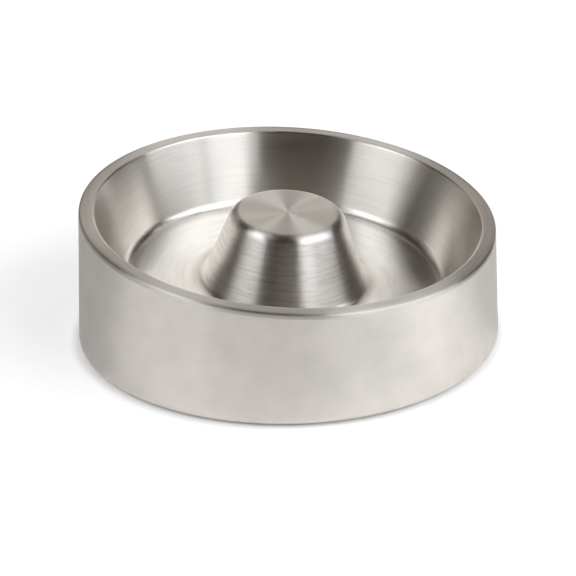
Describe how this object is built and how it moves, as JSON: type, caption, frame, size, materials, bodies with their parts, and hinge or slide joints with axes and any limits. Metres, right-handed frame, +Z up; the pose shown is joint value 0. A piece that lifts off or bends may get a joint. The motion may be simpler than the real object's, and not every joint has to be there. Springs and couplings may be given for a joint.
{
  "type": "slow feeder dog bowl",
  "caption": "Round double-wall brushed steel dog bowl with a slanted flat rim and a tapered central post that slows eating, closed underneath and resting on a non-slip ring.",
  "frame": {"origin": "on the floor plane, under the middle of the round base", "axes": "+Z up, -Y towards the low front of the rim, +X to the right seen from the front"},
  "size_m": [0.222, 0.2219, 0.0777],
  "materials": {
    "liner_steel": "circular brushed",
    "shell_steel": "satin",
    "base_steel": "mill",
    "grip_rubber": "matte"
  },
  "bodies": {
    "root": {"inner_bowl": "liner_steel", "outer_shell": "shell_steel", "base_plate": "base_steel", "nonslip_ring": "grip_rubber"}
  },
  "joints": []
}
